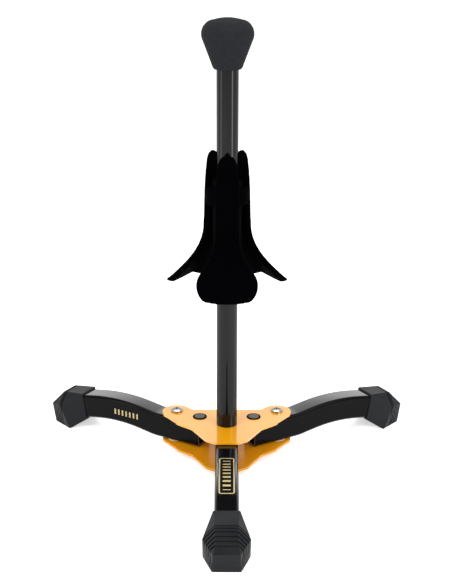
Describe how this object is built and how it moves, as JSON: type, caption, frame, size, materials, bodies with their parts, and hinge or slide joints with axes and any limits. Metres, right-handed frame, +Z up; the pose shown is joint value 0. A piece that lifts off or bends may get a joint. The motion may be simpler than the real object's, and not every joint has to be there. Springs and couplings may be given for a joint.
{
  "type": "trumpet stand",
  "caption": "Folding stand that holds a trumpet bell-down: an upright tube with a foam knob and a flocked petal cradle on a plate base with swivelling rubber-footed legs.",
  "frame": {"origin": "on the floor under the middle of the upright tube", "axes": "+Z up along the tube; the fixed front leg points to -Y; the left leg is on -X and the right leg on +X"},
  "size_m": [0.2214, 0.192, 0.2576],
  "materials": {
    "amber_plate": "gloss amber enamel",
    "black_tube": "gloss black",
    "black_leg": "gloss black",
    "rubber_foot": "matt",
    "flock": "velvet",
    "foam": "fine open foam",
    "steel": "zinc plated",
    "chrome": "polished",
    "nylon": "natural",
    "black_plastic": "satin",
    "button_grey": "satin"
  },
  "bodies": {
    "base": {"top_plate": "amber_plate", "bottom_plate": "amber_plate", "centre_spacer": "steel", "shaft": "black_tube", "shaft_insert": "steel", "shaft_bolt": "steel", "front_leg": "black_leg", "front_foot": "rubber_foot", "front_leg_shims": "nylon", "front_leg_nut_bar": "steel", "front_leg_screws": "chrome", "cradle_hub": "black_plastic", "bell_cradle": "flock", "cradle_pin": "steel", "shaft_cap": "black_plastic", "foam_knob": "foam", "left_pivot_screw": "chrome", "left_pivot_nut": "steel", "left_pivot_bush": "steel", "left_pivot_washers": "nylon", "left_lock_bush": "black_plastic", "left_lock_spring": "steel", "right_pivot_screw": "chrome", "right_pivot_nut": "steel", "right_pivot_bush": "steel", "right_pivot_washers": "nylon", "right_lock_bush": "black_plastic", "right_lock_spring": "steel"},
    "left_leg": {"left_leg": "black_leg", "left_foot": "rubber_foot"},
    "right_leg": {"right_leg": "black_leg", "right_foot": "rubber_foot"},
    "left_button": {"left_lock_button": "button_grey"},
    "right_button": {"right_lock_button": "button_grey"}
  },
  "joints": [
    {"name": "left_leg_swivel", "type": "hinge", "parent": "base", "child": "left_leg", "pos_m": [-0.03005, 0.01735, 0.01435], "axis": [0, 0, 1], "range_deg": [0, 100]},
    {"name": "right_leg_swivel", "type": "hinge", "parent": "base", "child": "right_leg", "pos_m": [0.03005, 0.01735, 0.01435], "axis": [0, 0, -1], "range_deg": [0, 100]},
    {"name": "left_button_press", "type": "slide", "parent": "base", "child": "left_button", "axis": [0, 0, -1], "range_m": [0, 0.0012], "stiffness_N_per_m": 500, "springref_m": -0.001, "deforming": ["left_lock_spring"]},
    {"name": "right_button_press", "type": "slide", "parent": "base", "child": "right_button", "axis": [0, 0, -1], "range_m": [0, 0.0012], "stiffness_N_per_m": 500, "springref_m": -0.001, "deforming": ["right_lock_spring"]}
  ]
}
